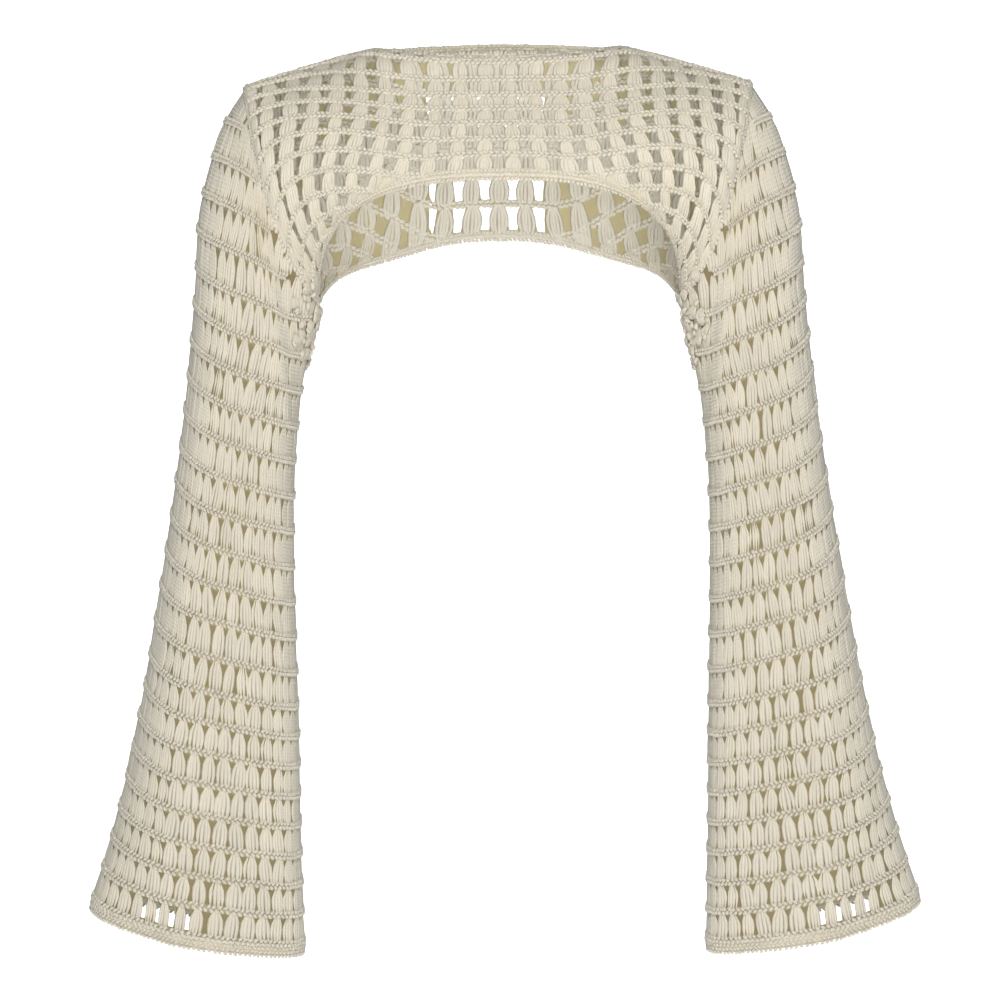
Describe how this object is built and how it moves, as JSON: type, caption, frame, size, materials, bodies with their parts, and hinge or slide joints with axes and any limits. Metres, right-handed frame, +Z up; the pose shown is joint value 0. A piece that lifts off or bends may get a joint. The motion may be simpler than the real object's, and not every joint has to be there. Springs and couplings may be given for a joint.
{
  "type": "crochet bolero shrug",
  "caption": "Cropped open-lace crochet shrug with a wide boat neck, arched hems and long bell sleeves, in its worn hollow form.",
  "frame": {"origin": "middle of the neck opening, where the wearer's neck and shoulders hold the garment", "axes": "+Z up, the front faces -Y, the garment's left sleeve is on +X"},
  "size_m": [0.6144, 0.1912, 0.6658],
  "materials": {
    "cotton_yarn": "matt ecru cotton yarn in plump crochet stitches",
    "edging_yarn": "matt ecru cotton yarn in dense edging stitches"
  },
  "bodies": {
    "root": {"front_panel": "cotton_yarn", "back_panel": "cotton_yarn", "left_sleeve_upper": "cotton_yarn", "left_sleeve_lower": "cotton_yarn", "right_sleeve_upper": "cotton_yarn", "right_sleeve_lower": "cotton_yarn", "neck_edging": "edging_yarn", "front_hem_edging": "edging_yarn", "back_hem_edging": "edging_yarn", "left_cuff_edging": "edging_yarn", "right_cuff_edging": "edging_yarn"}
  },
  "joints": []
}
